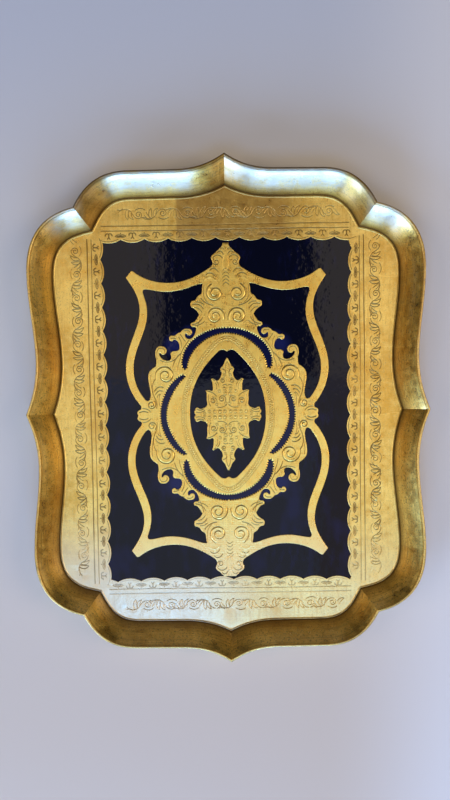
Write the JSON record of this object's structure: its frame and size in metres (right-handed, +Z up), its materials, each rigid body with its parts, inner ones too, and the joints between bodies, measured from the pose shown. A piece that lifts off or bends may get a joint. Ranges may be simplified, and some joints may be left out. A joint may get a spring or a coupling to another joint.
{
  "type": "serving tray",
  "caption": "Gilt wooden serving tray with a flared ogee rim mitred at cusps and notches, a dark blue lacquered panel and raised gilt scroll ornament.",
  "frame": {"origin": "centre of the tray's footprint, on the surface it stands on", "axes": "+Z up out of the well, +Y along the tray's length towards the end with the gap above the finial, +X across its width"},
  "size_m": [0.4446, 0.5598, 0.038],
  "materials": {
    "gilt_wood": "gloss",
    "gilt_relief": "gloss",
    "navy_lacquer": "polished",
    "board_wood": "satin",
    "pin_steel": "satin"
  },
  "bodies": {
    "root": {"base_board": "board_wood", "rim_head_top_right": "gilt_wood", "rim_side_top_right": "gilt_wood", "rim_head_bottom_right": "gilt_wood", "rim_side_bottom_right": "gilt_wood", "rim_head_bottom_left": "gilt_wood", "rim_side_bottom_left": "gilt_wood", "rim_head_top_left": "gilt_wood", "rim_side_top_left": "gilt_wood", "panel_pin_top_right_1": "pin_steel", "panel_pin_top_right_2": "pin_steel", "panel_pin_top_right_3": "pin_steel", "panel_pin_top_right_4": "pin_steel", "panel_pin_bottom_right_1": "pin_steel", "panel_pin_bottom_right_2": "pin_steel", "panel_pin_bottom_right_3": "pin_steel", "panel_pin_bottom_right_4": "pin_steel", "panel_pin_bottom_left_1": "pin_steel", "panel_pin_bottom_left_2": "pin_steel", "panel_pin_bottom_left_3": "pin_steel", "panel_pin_bottom_left_4": "pin_steel", "panel_pin_top_left_1": "pin_steel", "panel_pin_top_left_2": "pin_steel", "panel_pin_top_left_3": "pin_steel", "panel_pin_top_left_4": "pin_steel", "lacquer_ground": "navy_lacquer", "border_relief": "gilt_relief", "cartouche_relief": "gilt_relief", "medallion_relief": "gilt_relief"}
  },
  "joints": []
}
